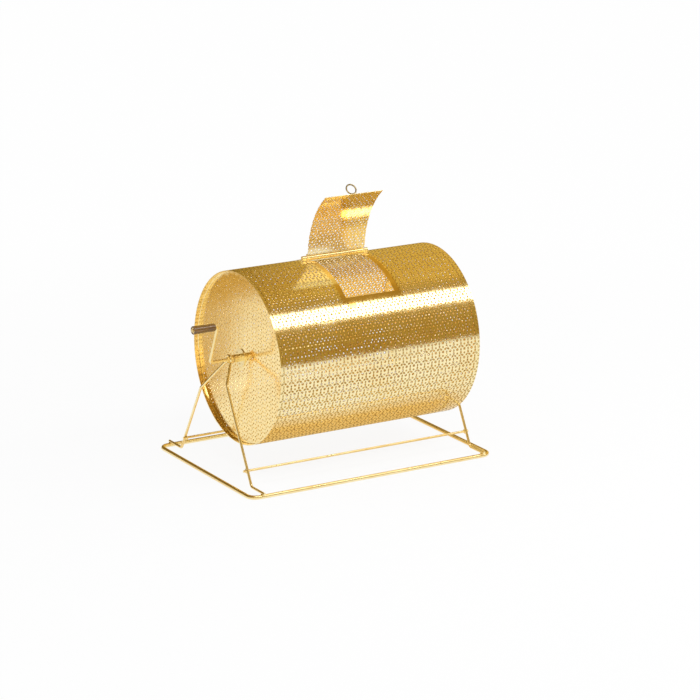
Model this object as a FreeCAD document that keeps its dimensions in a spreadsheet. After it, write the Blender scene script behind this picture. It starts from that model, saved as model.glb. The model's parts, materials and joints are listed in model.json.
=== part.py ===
"""Raffle drum with crank: a perforated sheet drum on a wire stand.

The drum is a rolled sheet shell closed by two flanged end discs.  It is locked to
one bent rod, which is axle, crank arm and grip spindle in one.  The rod runs in
bushes held by the eyes of two bent-wire stands, which stand on a closed rod frame.
A curved door swings on a pin at the back edge of an opening in the shell.

Millimetres.  Origin on the resting plane at the middle of the base frame,
+X to the right along the axle, +Y to the back, +Z up.  The crank is at -X.
Angles round the drum are measured from straight up, positive to the front (-Y).
"""
import FreeCAD
import Part
import math
import os
import re

import Sketcher

V = FreeCAD.Vector
doc = FreeCAD.newDocument("raffle_drum")

# ---------------------------------------------------------------- driving dimensions
SIZES = [
    # drum
    ("drum_radius", 150.0), ("drum_length", 396.0), ("drum_shift", 21.0),
    ("axle_height", 196.5), ("sheet", 0.8), ("disc_recess", 8.0),
    ("seam_lap", 10.0), ("seam_angle", -150.0), ("window_reach", 5.0),
    # openings of the perforated sheet, as a plain grid with the fine pattern's open share
    ("grid_hole", 19.0), ("grid_pitch", 36.0), ("grid_columns", 10.0), ("grid_rows", 24.0),
    ("grid_depth", 4.0), ("grid_door_clear", 12.0), ("door_grid_columns", 3.0),
    ("door_grid_rows", 3.0), ("disc_hole", 16.0), ("disc_pitch", 32.0), ("disc_margin", 3.0),
    # base frame and stands
    ("base_length", 479.0), ("base_width", 322.0), ("base_rod", 3.5), ("base_bend", 16.0),
    ("wire", 2.25), ("wire_bend", 7.0), ("weld_overlap", 0.3),
    ("foot_y", 122.0), ("foot_reach", 166.0), ("leg_slope", 0.546),
    ("left_stand_gap", 40.5), ("right_stand_gap", 3.5), ("left_eye_gap", 15.0),
    ("front_knee_z", 163.5), ("rear_knee_z", 137.0), ("right_knee_z", 150.0),
    ("eye_arm_angle", 25.0), ("eye_overlap", 0.05),
    ("tie_rod", 2.0), ("tie_rod_z", 34.0), ("tie_rod_end", 6.0),
    # axle, bushes and hubs
    ("axle", 2.75), ("running_gap", 0.05), ("bush_wall", 2.0),
    ("left_bush_length", 12.0), ("right_bush_length", 9.0),
    ("bush_flange", 6.5), ("bush_flange_width", 1.2),
    ("hub_flange", 16.0), ("hub_flange_width", 1.5), ("hub_boss", 7.0),
    ("left_boss_length", 13.5), ("right_boss_length", 3.5),
    ("washer", 6.5), ("washer_width", 1.0), ("side_play", 0.3),
    ("rivet", 1.25), ("rivet_head", 2.4), ("rivet_head_height", 0.9), ("hub_rivet_circle", 12.0),
    ("hub_rivet_angle", 60.0), ("set_screw", 1.25), ("set_screw_sunk", 0.2),
    # crank and grip
    ("crank_gap", 52.0), ("crank_throw", 74.0), ("crank_angle", 21.0), ("crank_bend", 6.0),
    ("spindle_bend", 4.0), ("grip", 7.3), ("grip_length", 42.0), ("grip_waist", 6.5),
    ("grip_bore_gap", 0.1), ("grip_washer", 5.0), ("grip_recess", 2.0), ("grip_play", 0.15),
    ("spindle_stub", 1.4), ("axle_stub", 4.0),
    # door and its opening
    ("door_shift", 4.5), ("door_half_width", 57.0), ("door_front", 46.3), ("door_back", -3.2),
    ("door_lift", 0.3), ("door_side_gap", 1.0), ("door_front_gap", 0.5),
    ("door_open", 84.5), ("strap_show", 9.5), ("strap_hidden", 6.0), ("front_strap_show", 4.0),
    ("strap_back_reach", 2.0), ("front_strap_reach", 2.3), ("strap_joint", 0.1),
    ("hinge_angle", -5.7), ("hinge_pin", 1.25), ("barrel", 3.5),
    ("knuckle_length", 7.5), ("knuckle_foot", 1.2), ("pin_stub", 1.0),
    ("leaf_back", -13.0), ("leaf_front", -3.9), ("leaf_rivet_angle", -10.4), ("leaf_rivet_inset", 8.0),
    ("step_near", 5.8), ("step_width", 1.0), ("step_depth", 5.2), ("step_half", 0.4),
    ("shelf_near", 2.0),
    ("loop_wire", 1.25), ("loop_ring", 9.0), ("loop_inset", 1.7), ("loop_foot", 2.6),
    ("loop_foot_height", 0.8), ("loop_stem", 1.2), ("braze_overlap", 0.1),
    ("clip_offset", -42.0), ("clip_width", 12.0), ("clip_sheet", 0.6), ("clip_sweep", 3.8),
    ("clip_lip_height", 2.4), ("clip_lip_sweep", 0.35), ("clip_gap", 0.1),
]

sheet = doc.addObject("Spreadsheet::Sheet", "dims")
for row, (alias, value) in enumerate(SIZES, start=1):
    sheet.set("A%d" % row, alias)
    sheet.set("B%d" % row, str(value))
    sheet.setAlias("B%d" % row, alias)
doc.recompute()


def size(alias):
    """The value of one driving dimension."""
    return float(getattr(sheet, alias))


def expression(text):
    """A formula on aliases, with each alias spelled as a cell of the sheet."""
    aliases = dict(SIZES)
    return re.sub("[a-z_]+", lambda word: ("dims." if word[0] in aliases else "") + word[0], text)


def bind(obj, **formulas):
    """Tie properties of an object to the sheet."""
    for name, formula in formulas.items():
        obj.setExpression(name, expression(formula))


# ---------------------------------------------------------------- places worked out once
AXLE_Z = size("axle_height")
DRUM_X = size("drum_shift")
HALF = size("drum_length") / 2
LEFT_END = DRUM_X - HALF
RIGHT_END = DRUM_X + HALF
DOOR_X = DRUM_X + size("door_shift")
LEFT_STAND_X = LEFT_END - size("left_stand_gap")
RIGHT_STAND_X = RIGHT_END + size("right_stand_gap")
LEFT_EYE_X = LEFT_END - size("left_eye_gap")
CRANK_X = LEFT_END - size("crank_gap")
BUSH_OUTSIDE = size("axle") + size("running_gap") + size("bush_wall")
EYE_RING = BUSH_OUTSIDE + size("wire") - size("eye_overlap")
HINGE_R = size("drum_radius") + size("sheet") + size("door_lift") + size("barrel")

X_AXIS = V(1, 0, 0)
# turns a cylinder's own axis along +X and its start direction straight up, opening to the front
UP_AND_FORWARD = FreeCAD.Rotation(V(0, 0, 1), V(0, -1, 0), V(1, 0, 0), "ZXY")


def about_axle(x, angle=0.0):
    """Placement on the axle line at x, turned so that a sector starts at the angle."""
    turn = FreeCAD.Rotation(X_AXIS, angle).multiply(UP_AND_FORWARD)
    return FreeCAD.Placement(V(x, 0, AXLE_Z), turn)


def on_drum(x, angle, radius):
    """The point at an angle and radius round the axle."""
    a = math.radians(angle)
    return V(x, -radius * math.sin(a), AXLE_Z + radius * math.cos(a))


PARTS = []


def label(obj, name, placement=None):
    """Name a finished sub-part and put it in its place."""
    obj.Label = name
    if placement is not None:
        obj.Placement = placement
    PARTS.append(obj)
    return obj


# ---------------------------------------------------------------- ways of making a piece
def cylinder(name, radius, height, x, angle=0.0, sweep="360"):
    """A cylinder or sector about the axle line."""
    obj = doc.addObject("Part::Cylinder", name)
    bind(obj, Radius=radius, Height=height)
    if sweep != "360":
        bind(obj, Angle=sweep)
    obj.Placement = about_axle(x, angle)
    return obj


def curved_plate(name, inner, outer, height, x, angle=0.0, sweep="360"):
    """Sheet rolled about the axle line, between two radii."""
    plate = doc.addObject("Part::Cut", name)
    plate.Base = cylinder(name + "_outer", outer, height, x, angle, sweep)
    plate.Tool = cylinder(name + "_inner", inner, height, x, angle, sweep)
    return plate


def fuse(name, pieces):
    """One solid from pieces that touch."""
    obj = doc.addObject("Part::MultiFuse", name)
    obj.Shapes = pieces
    obj.Refine = True
    return obj


def cut(name, base, tool):
    """Base with tool taken out."""
    obj = doc.addObject("Part::Cut", name)
    obj.Base = base
    obj.Tool = tool
    return obj


def turned_body(name, outline, x, mirrored=False):
    """An outline of (along, radius) formulas, revolved about the axle line."""
    body = doc.addObject("PartDesign::Body", name + "_body")
    sketch = body.newObject("Sketcher::SketchObject", name + "_outline")
    plane = next(f for f in body.Origin.OriginFeatures if f.Role == "XY_Plane")
    sketch.AttachmentSupport = (plane, [""])
    sketch.MapMode = "FlatFace"
    points = [(value_of(a), value_of(r)) for a, r in outline]
    count = len(points)
    for i, (a, r) in enumerate(points):
        b, s = points[(i + 1) % count]
        sketch.addGeometry(Part.LineSegment(V(a, r, 0), V(b, s, 0)), False)
    for i in range(count):
        sketch.addConstraint(Sketcher.Constraint("Coincident", i, 2, (i + 1) % count, 1))
    for i, (along, radius) in enumerate(outline):
        for kind, formula, value in (("DistanceX", along, points[i][0]),
                                     ("DistanceY", radius, points[i][1])):
            index = sketch.addConstraint(Sketcher.Constraint(kind, -1, 1, i, 1, value))
            if not is_number(formula):
                sketch.setExpression("Constraints[%d]" % index, expression(formula))
    spin = body.newObject("PartDesign::Revolution", name + "_turned")
    spin.Profile = sketch
    spin.ReferenceAxis = (sketch, ["H_Axis"])
    spin.Angle = 360.0
    body.Tip = spin
    turn = FreeCAD.Rotation(V(0, 0, 1), 180.0 if mirrored else 0.0)
    body.Placement = FreeCAD.Placement(V(x, 0, AXLE_Z), turn)
    return body


def turned(name, outline, x, mirrored=False):
    """A turned piece that needs no further work."""
    body = turned_body(name, outline, x, mirrored)
    return label(body, name)


def is_number(text):
    """Whether a formula is a plain number."""
    return text.replace(".", "", 1).lstrip("-").isdigit()


def value_of(formula):
    """The number that a sum of aliases and numbers comes to."""
    total = 0.0
    sign = 1.0
    for word in formula.replace("+", " + ").replace("-", " - ").split():
        if word == "+":
            sign = 1.0
        elif word == "-":
            sign = -1.0
        else:
            total += sign * (float(word) if is_number(word) else size(word))
            sign = 1.0
    return total


def bent_wire(points, radius, bend, closed=False):
    """Round wire along straight runs joined by tangent arcs."""
    corners = range(len(points)) if closed else range(1, len(points) - 1)
    arcs = {i: corner_arc(points[i - 1], points[i], points[(i + 1) % len(points)], bend)
            for i in corners}
    edges = []
    start = arcs[0][2] if closed else points[0]
    order = list(range(1, len(points))) + ([0] if closed else [])
    for i in order:
        stop = arcs[i][0] if i in arcs else points[i]
        edges.append(Part.LineSegment(start, stop).toShape())
        if i in arcs:
            entry, middle, leave = arcs[i]
            edges.append(Part.Arc(entry, middle, leave).toShape())
            start = leave
    path = Part.Wire(edges)
    first = edges[0].Curve
    ring = Part.Circle(edges[0].Vertexes[0].Point, first.Direction, radius)
    profile = Part.Wire([ring.toShape()])
    return path.makePipeShell([profile], True, False)


def corner_arc(before, corner, after, bend):
    """Entry, middle and leaving point of the arc that rounds a corner."""
    back = (before - corner).normalize()
    ahead = (after - corner).normalize()
    half = back.getAngle(ahead) / 2
    reach = bend / math.tan(half)
    bisector = (back + ahead).normalize()
    centre = corner + bisector * (bend / math.sin(half))
    return corner + back * reach, centre - bisector * bend, corner + ahead * reach


def wire_piece(name, shape):
    """A sub-part whose shape is swept wire."""
    obj = doc.addObject("Part::Feature", name + "_wire")
    obj.Shape = shape
    return label(obj, name, FreeCAD.Placement())


def rod(start, end, radius):
    """A straight round rod between two points."""
    run = end - start
    return Part.makeCylinder(radius, run.Length, start, run)


# ---------------------------------------------------------------- stand
def make_base_frame():
    """Closed rectangle of round rod lying on the resting plane."""
    half_x = size("base_length") / 2
    half_y = size("base_width") / 2
    z = size("base_rod")
    corners = [V(0, -half_y, z), V(half_x, -half_y, z), V(half_x, half_y, z),
               V(-half_x, half_y, z), V(-half_x, -half_y, z)]
    open_end = V(0, -half_y, z)
    shape = bent_wire(corners + [open_end], z, size("base_bend"))
    wire_piece("base_frame", shape)


def leg_y(z):
    """How far a leg's centre line stands from the middle at a height."""
    return size("foot_y") - size("leg_slope") * (z - foot_z())


def foot_z():
    """Height of a foot's centre line, resting on the base rod."""
    return 2 * size("base_rod") + size("wire") - size("weld_overlap")


def make_stand(name, leg_x, eye_x, front_knee_z, rear_knee_z):
    """Bent wire with an eye round the bush, two legs and two feet on the rails."""
    radius = size("wire")
    join = math.radians(size("eye_arm_angle"))
    arms = []
    for side, knee_z in ((-1, front_knee_z), (1, rear_knee_z)):
        start = V(eye_x, side * EYE_RING * math.cos(join), AXLE_Z - EYE_RING * math.sin(join))
        points = [start, V(leg_x, side * leg_y(knee_z), knee_z),
                  V(leg_x, side * size("foot_y"), foot_z()),
                  V(leg_x, side * size("foot_reach"), foot_z())]
        arms.append(bent_wire(points, radius, size("wire_bend")))
    eye = Part.makeTorus(EYE_RING, radius, V(eye_x, 0, AXLE_Z), X_AXIS)
    wire_piece(name, eye.fuse(arms).removeSplitter())


def make_tie_rods():
    """Thin rods against the inner side of the legs, ends standing past them."""
    start_x = LEFT_STAND_X - size("tie_rod_end")
    end_x = RIGHT_STAND_X + size("tie_rod_end")
    z = size("tie_rod_z")
    slope = math.atan(size("leg_slope"))
    reach = size("wire") + size("tie_rod") - size("weld_overlap")
    y = leg_y(z) - reach * math.cos(slope)
    low_z = z - reach * math.sin(slope)
    for name, side in (("front_tie_rod", -1), ("rear_tie_rod", 1)):
        obj = doc.addObject("Part::Cylinder", name + "_rod")
        bind(obj, Radius="tie_rod")
        obj.Height = end_x - start_x
        label(obj, name, FreeCAD.Placement(V(start_x, side * y, low_z),
                                           FreeCAD.Rotation(V(0, 1, 0), 90)))


def make_bushes():
    """Flanged sleeves in the eyes; the flange faces the drum."""
    bore = "axle + running_gap"
    wall = bore + " + bush_wall"
    for side, eye_x, toward_drum in (("left", LEFT_EYE_X, 1), ("right", RIGHT_STAND_X, -1)):
        length = side + "_bush_length"
        outline = [("0", bore), (length, bore), (length, wall), ("bush_flange_width", wall),
                   ("bush_flange_width", "bush_flange"), ("0", "bush_flange")]
        flange_x = eye_x + toward_drum * size(length) / 2
        turned(side + "_bush", outline, flange_x, mirrored=toward_drum > 0)


# ---------------------------------------------------------------- perforated sheet
def square_cutter(centre, outward, side):
    """A square block across the sheet, upright on it and in line with the axle or the height."""
    depth = size("grid_depth")
    across = X_AXIS if outward.x == 0 else V(0, 1, 0)
    block = Part.makeBox(side, side, depth, V(-side / 2, -side / 2, -depth / 2))
    block.Placement = FreeCAD.Placement(
        centre, FreeCAD.Rotation(across, outward.cross(across), outward, "ZXY"))
    return block


def cut_grid(name, base, cutters):
    """A piece with the grid's openings cut out of it."""
    grid = doc.addObject("Part::Feature", name + "_openings")
    grid.Shape = Part.makeCompound(cutters)
    return cut(name + "_perforated", base, grid)


def spread(count):
    """Places on a line, one apart and centred on nought."""
    return [i - (count - 1) / 2 for i in range(int(count))]


def shell_cutters():
    """Openings all round the shell, clear of the lap seam, the hinge and the door's straps."""
    rows = size("grid_rows")
    seam_middle = size("seam_angle") + math.degrees(size("seam_lap") / size("drum_radius")) / 2
    side_clear = size("door_half_width") + size("grid_door_clear")
    cutters = []
    for row in range(int(rows)):
        angle = seam_middle + (row + 0.5) * 360.0 / rows
        beside_door = size("leaf_back") < angle < size("door_front")
        for step in spread(size("grid_columns")):
            x = step * size("grid_pitch")
            if not (beside_door and abs(x) < side_clear):
                centre = on_drum(DOOR_X + x, angle, size("drum_radius"))
                cutters.append(square_cutter(centre, radial(angle), size("grid_hole")))
    return cutters


def door_cutters():
    """Openings of the door, at the same pitch as the shell's."""
    middle = (size("door_front") + size("door_back")) / 2
    cutters = []
    for row in spread(size("door_grid_rows")):
        angle = middle + row * 360.0 / size("grid_rows")
        for step in spread(size("door_grid_columns")):
            centre = on_drum(DOOR_X + step * size("grid_pitch"), angle, size("drum_radius"))
            cutters.append(square_cutter(centre, radial(angle), size("grid_hole")))
    return cutters


def disc_cutters(face_x):
    """Openings of an end disc, clear of the hub and of the flange."""
    side = size("disc_hole")
    pitch = size("disc_pitch")
    near = size("hub_flange") + size("disc_margin")
    far = size("drum_radius") - 2 * size("sheet") - size("disc_margin")
    reach = int(far / pitch)
    cutters = []
    for i in range(-reach, reach + 1):
        for j in range(-reach, reach + 1):
            nearest = math.hypot(i, j) * pitch - side / 2
            farthest = math.hypot(abs(i) * pitch + side / 2, abs(j) * pitch + side / 2)
            if nearest > near and farthest < far:
                centre = V(face_x, i * pitch, AXLE_Z + j * pitch)
                cutters.append(square_cutter(centre, X_AXIS, side))
    return cutters


# ---------------------------------------------------------------- drum
def make_shell():
    """Rolled sheet with an outside lap seam and the door cut-out."""
    tube = curved_plate("shell_tube", "drum_radius - sheet", "drum_radius", "drum_length", LEFT_END)
    lap = curved_plate("shell_lap", "drum_radius", "drum_radius + sheet", "drum_length", LEFT_END,
                       size("seam_angle"), "seam_lap / drum_radius * 57.2958")
    whole = fuse("shell_whole", [tube, lap])
    half = "door_half_width + door_side_gap"
    window = curved_plate("shell_window", "drum_radius - window_reach",
                          "drum_radius + window_reach", "2 * (%s)" % half,
                          DOOR_X - value_of(half), size("door_back") - size("door_front_gap"),
                          "door_front - door_back + 2 * door_front_gap")
    shell = cut("shell_cut", whole, window)
    label(cut_grid("shell", shell, shell_cutters()), "drum_shell")


def make_end_discs():
    """Flat discs set back inside the rim, with a flange that lies against the shell."""
    inner = "drum_radius - sheet"
    outline = [("0", "axle + running_gap"), ("sheet", "axle + running_gap"),
               ("sheet", "drum_radius - sheet - sheet"),
               ("sheet + disc_recess", "drum_radius - sheet - sheet"),
               ("sheet + disc_recess", inner), ("0", inner)]
    depth = size("sheet") + size("disc_recess")
    left = turned_body("left_disc", outline, LEFT_END + depth, mirrored=True)
    right = turned_body("right_disc", outline, RIGHT_END - depth)
    label(cut_grid("left_disc", left, disc_cutters(LEFT_END + depth)), "left_end_disc")
    label(cut_grid("right_disc", right, disc_cutters(RIGHT_END - depth)), "right_end_disc")


# how far each hole's cutter runs past the metal it goes through
DRILL = 3.0


def make_hub(name, boss_length, face_x, outward):
    """Flanged boss on a disc's outer face, drilled for rivets and a set screw."""
    flange = cylinder(name + "_flange", "hub_flange", "hub_flange_width", 0)
    boss = cylinder(name + "_boss", "hub_boss", "hub_flange_width + " + boss_length, 0)
    solid = fuse(name + "_solid", [flange, boss])
    bore = cylinder(name + "_bore", "axle", "hub_flange_width + %s + %f" % (boss_length, 2 * DRILL),
                    -DRILL)
    screw = doc.addObject("Part::Cylinder", name + "_screw_hole")
    bind(screw, Radius="set_screw", Height="hub_boss + %f" % DRILL)
    screw.Placement = FreeCAD.Placement(V(screw_offset(boss_length), 0, AXLE_Z), FreeCAD.Rotation())
    holes = [bore, screw]
    for i in range(3):
        hole = doc.addObject("Part::Cylinder", "%s_rivet_hole_%d" % (name, i))
        bind(hole, Radius="rivet", Height="hub_flange_width + %f" % (2 * DRILL))
        centre = on_drum(-DRILL, hub_rivet_angle(i), size("hub_rivet_circle"))
        hole.Placement = FreeCAD.Placement(centre, UP_AND_FORWARD)
        holes.append(hole)
    tool = fuse(name + "_holes", holes)
    turn = FreeCAD.Rotation(V(0, 0, 1), 0 if outward > 0 else 180)
    label(cut(name + "_cut", solid, tool), name, FreeCAD.Placement(V(face_x, 0, 0), turn))


def hub_rivet_angle(i):
    """Angle round the axle of one of a hub's three rivets."""
    return size("hub_rivet_angle") + 120 * i


def screw_offset(boss_length):
    """Where the set screw sits along a boss, from the disc's face."""
    return size("hub_flange_width") + size(boss_length) / 2


DISC_FACE = {"left": LEFT_END + size("disc_recess"), "right": RIGHT_END - size("disc_recess")}
OUTWARD = {"left": -1, "right": 1}


def make_hub_fasteners():
    """Rivets through hub flange and disc, and one set screw in each boss."""
    rivets = []
    screws = []
    thickness = size("sheet") + size("hub_flange_width")
    for side in ("left", "right"):
        face = DISC_FACE[side]
        out = OUTWARD[side]
        seat_x = face + out * size("hub_flange_width")
        for i in range(3):
            seat = on_drum(seat_x, hub_rivet_angle(i), size("hub_rivet_circle"))
            rivets.append(rivet(seat, V(out, 0, 0), thickness))
        x = face + out * screw_offset(side + "_boss_length")
        tip = V(x, 0, AXLE_Z + size("axle"))
        top = V(x, 0, AXLE_Z + size("hub_boss") - size("set_screw_sunk"))
        screws.append(rod(tip, top, size("set_screw")))
    group("hub_rivets", rivets)
    group("hub_set_screws", screws)


def rivet(head_seat, outward, grip_length):
    """A rivet: low domed heads on both faces of what it grips."""
    inward = outward * -1
    shank = Part.makeCylinder(size("rivet"), grip_length, head_seat, inward)
    shape = shank.fuse([dome(head_seat, outward), dome(head_seat + inward * grip_length, inward)])
    return shape.removeSplitter()


def dome(seat, outward):
    """A low domed rivet head standing on a face."""
    radius = size("rivet_head")
    height = size("rivet_head_height")
    ball = (radius ** 2 + height ** 2) / (2 * height)
    sphere = Part.makeSphere(ball, seat - outward * (ball - height))
    slab = Part.makeCylinder(2 * radius, 2 * height, seat, outward)
    return sphere.common(slab)


def group(name, solids):
    """Identical fasteners in one node, as separate solids."""
    obj = doc.addObject("Part::Feature", name + "_group")
    obj.Shape = Part.makeCompound(solids)
    label(obj, name, FreeCAD.Placement())


def make_crank_rod():
    """One bent rod: axle, elbow, crank arm and grip spindle."""
    a = math.radians(size("crank_angle"))
    throw = size("crank_throw")
    pin_y = -throw * math.sin(a)
    pin_z = AXLE_Z + throw * math.cos(a)
    bush_end = RIGHT_STAND_X + size("right_bush_length") / 2
    right = V(bush_end + size("washer_width") + size("axle_stub"), 0, AXLE_Z)
    elbow = V(CRANK_X, 0, AXLE_Z)
    knee = V(CRANK_X, pin_y, pin_z)
    tip = V(spindle_x(size("grip_length") + size("spindle_stub")), pin_y, pin_z)
    axle_run = bent_wire([right, elbow, (elbow + knee) * 0.5], size("axle"), size("crank_bend"))
    arm_run = bent_wire([(elbow + knee) * 0.5, knee, tip], size("axle"), size("spindle_bend"))
    wire_piece("crank_rod", axle_run.fuse([arm_run]).removeSplitter())
    return pin_y, pin_z


def spindle_x(along):
    """X of a point on the grip spindle, counted outwards from the inner washer."""
    return CRANK_X - size("spindle_bend") - size("side_play") - size("washer_width") - along


def make_axle_washers():
    """Thrust washers between hubs and bushes, the outer washer and the end cap."""
    outline = [("0", "axle + running_gap"), ("washer_width", "axle + running_gap"),
               ("washer_width", "washer"), ("0", "washer")]
    left_boss_end = DISC_FACE["left"] - size("hub_flange_width") - size("left_boss_length")
    right_boss_end = DISC_FACE["right"] + size("hub_flange_width") + size("right_boss_length")
    gap = size("side_play")
    turned("left_thrust_washer", outline, left_boss_end - gap, mirrored=True)
    turned("right_thrust_washer", outline, right_boss_end + gap / 2)
    outer_x = RIGHT_STAND_X + size("right_bush_length") / 2 + gap
    turned("right_end_washer", outline, outer_x)
    blind_end = "axle_stub - side_play - side_play"
    cap = [("0", "axle"), (blind_end, "axle"), (blind_end, "0"), ("6.0", "0"), ("5.6", "1.9"),
           ("4.6", "3.4"), ("3.2", "4.2"), ("0", "4.4")]
    turned("axle_end_cap", cap, outer_x + size("washer_width") + gap)


def make_grip(pin_y, pin_z):
    """Turned handle free to spin on the spindle, between two washers."""
    bore = "axle + grip_bore_gap"
    recess = "grip_washer + side_play"
    hollow = [("0", bore), ("grip_length - grip_recess", bore),
              ("grip_length - grip_recess", recess), ("grip_length", recess)]
    outside = [("grip_length", "grip - 0.7"), ("grip_length - 0.8", "grip"),
               ("grip_length - 7", "grip"), ("grip_length - 20", "grip_waist + 0.4"),
               ("14", "grip_waist"), ("5", "grip_waist + 0.5"),
               ("1.4", "grip_waist + 0.3"), ("0", "grip_waist - 0.7")]
    washer = [("0", "axle + running_gap"), ("washer_width", "axle + running_gap"),
              ("washer_width", "grip_washer"), ("0", "grip_washer")]
    lift = V(0, pin_y, pin_z - AXLE_Z)
    sleeve = turned("grip_sleeve", hollow + outside, spindle_x(size("grip_play")), mirrored=True)
    inner = turned("grip_inner_washer", washer, spindle_x(-size("washer_width")), mirrored=True)
    recess_floor = size("grip_length") - size("grip_recess") + size("grip_play")
    outer_x = spindle_x(recess_floor + size("grip_bore_gap") + size("grip_play"))
    outer = turned("grip_end_washer", washer, outer_x, mirrored=True)
    for piece in (sleeve, inner, outer):
        place = piece.Placement
        place.Base = place.Base + lift
        piece.Placement = place


# ---------------------------------------------------------------- door opening
def make_straps():
    """Smooth straps under the edge of the opening, on which the shut door lands."""
    inner = "drum_radius - 2 * sheet"
    outer = "drum_radius - sheet"
    edge = size("door_half_width") + size("door_side_gap")
    clear = edge - size("strap_show")
    back = size("door_back") - size("door_front_gap") - size("strap_back_reach")
    split = size("door_front") + size("door_front_gap") - size("front_strap_show")
    side_width = "strap_show + strap_hidden"
    sweep = ("door_front + door_front_gap - front_strap_show - strap_joint"
             " - (door_back - door_front_gap - strap_back_reach)")
    label(curved_plate("left_strap_plate", inner, outer, side_width,
                       DOOR_X - edge - size("strap_hidden"), back, sweep), "left_strap")
    label(curved_plate("right_strap_plate", inner, outer, side_width,
                       DOOR_X + clear, back, sweep), "right_strap")
    label(curved_plate("front_strap_plate", inner, outer,
                       "2 * (door_half_width + door_side_gap + strap_hidden)",
                       DOOR_X - edge - size("strap_hidden"), split,
                       "front_strap_show + front_strap_reach"), "front_strap")


def barrel_ring(name, bore, length, x):
    """A length of rolled hinge barrel on the pin line, door shut."""
    ring = cut(name, plain_rod(name + "_outer", "barrel", length, x),
               plain_rod(name + "_bore", bore, length, x))
    return ring


def plain_rod(name, radius, length, x):
    """A rod along X on the pin line."""
    obj = doc.addObject("Part::Cylinder", name)
    bind(obj, Radius=radius, Height=length)
    obj.Placement = FreeCAD.Placement(on_drum(x, size("hinge_angle"), HINGE_R), UP_AND_FORWARD)
    return obj


def hinge_block(name, length, x, near, far, low, high):
    """A flat bar beside the pin: between two distances forward of it and two heights from it."""
    bar = doc.addObject("Part::Box", name)
    bar.Length = high - low
    bar.Width = far - near
    bind(bar, Height=length)
    a = math.radians(size("hinge_angle"))
    forward = V(0, -math.cos(a), -math.sin(a))
    out = radial(size("hinge_angle"))
    start = on_drum(x, size("hinge_angle"), HINGE_R) + forward * near + out * low
    bar.Placement = FreeCAD.Placement(start, FreeCAD.Rotation(out, forward, X_AXIS, "ZXY"))
    return bar


def make_hinge():
    """Fixed leaf with an end knuckle each side, the pin, and the leaf's rivets."""
    reach = size("door_half_width") + size("door_side_gap") + size("knuckle_length")
    left = DOOR_X - reach
    width = "2 * (door_half_width + door_side_gap + knuckle_length)"
    leaf = curved_plate("leaf_plate", "drum_radius", "drum_radius + sheet", width, left,
                        size("leaf_back"), "leaf_front - leaf_back")
    pieces = [leaf]
    for end, x in (("left", left), ("right", DOOR_X + reach - size("knuckle_length"))):
        pieces.append(barrel_ring("leaf_%s_knuckle" % end, "hinge_pin", "knuckle_length", x))
        foot = size("knuckle_foot")
        low = -size("barrel") - size("sheet")
        pieces.append(hinge_block("leaf_%s_foot" % end, "knuckle_length", x, -foot, foot,
                                  low, low + foot + 0.2))
    label(fuse("leaf_whole", pieces), "hinge_leaf")
    pin = plain_rod("pin_rod", "hinge_pin", width + " + 2 * pin_stub", left - size("pin_stub"))
    label(pin, "hinge_pin")
    rivets = []
    angle = size("leaf_rivet_angle")
    inset = size("leaf_rivet_inset")
    for i in range(5):
        x = left + inset + i * (2 * reach - 2 * inset) / 4
        seat = on_drum(x, angle, size("drum_radius") + size("sheet"))
        rivets.append(rivet(seat, radial(angle), 2 * size("sheet")))
    group("leaf_rivets", rivets)


def radial(angle):
    """Unit vector straight out of the drum at an angle."""
    a = math.radians(angle)
    return V(0, -math.sin(a), math.cos(a))


def make_catch():
    """Spring clip on the front edge of the opening, with a lip beside the shut door's edge."""
    front = size("door_front") + size("door_front_gap")
    x = DOOR_X + size("clip_offset") - size("clip_width") / 2
    start = front + size("clip_gap")
    plate = curved_plate("clip_plate", "drum_radius", "drum_radius + clip_sheet", "clip_width", x,
                         start, "clip_sweep")
    lip = curved_plate("clip_lip", "drum_radius", "drum_radius + clip_lip_height", "clip_width", x,
                       start, "clip_lip_sweep")
    label(fuse("clip_whole", [plate, lip]), "catch_clip")


# ---------------------------------------------------------------- door
def open_door(obj):
    """Swing a piece of the shut door about the pin line to where it stands open."""
    pin = on_drum(0, size("hinge_angle"), HINGE_R)
    swing = FreeCAD.Placement(V(0, 0, 0), FreeCAD.Rotation(X_AXIS, -size("door_open")), pin)
    obj.Placement = swing.multiply(obj.Placement)


def make_door():
    """Curved panel whose back edge steps up to a rolled barrel on the pin."""
    left = DOOR_X - size("door_half_width")
    inner = "drum_radius - sheet + door_lift"
    panel = curved_plate("door_sheet", inner, inner + " + sheet", "2 * door_half_width", left,
                         size("door_back"), "door_front - door_back")
    barrel = barrel_ring("door_barrel", "hinge_pin + running_gap", "2 * door_half_width", left)
    near = size("step_near")
    far = near + size("step_width")
    half = size("step_half")
    web = hinge_block("door_web", "2 * door_half_width", left, near, far, -size("step_depth"), half)
    shelf = hinge_block("door_shelf", "2 * door_half_width", left, size("shelf_near"),
                        (near + far) / 2, -half, half)
    whole = fuse("door_whole", [panel, barrel, web, shelf])
    door = cut_grid("door", whole, door_cutters())
    label(door, "door_panel")
    open_door(door)


def make_finger_loop():
    """Wire eye with a small foot, brazed on the outer face at the middle of the free edge."""
    angle = size("door_front") - size("loop_inset")
    out = radial(angle)
    face = size("drum_radius") + size("door_lift")
    wire = size("loop_wire")
    ring = size("loop_ring")
    thickness = size("braze_overlap") + size("loop_foot_height")
    foot = on_drum(DOOR_X, angle, face - size("braze_overlap"))
    centre = foot + out * (thickness + ring + size("loop_stem"))
    along = X_AXIS.cross(out)
    torus = Part.makeTorus(ring, wire, centre, along)
    stem = rod(foot, centre - out * ring, wire)
    disc = rod(foot, foot + out * thickness, size("loop_foot"))
    obj = doc.addObject("Part::Feature", "finger_loop_wire")
    obj.Shape = torus.fuse([stem, disc]).removeSplitter()
    label(obj, "finger_loop", FreeCAD.Placement())
    open_door(obj)


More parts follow.
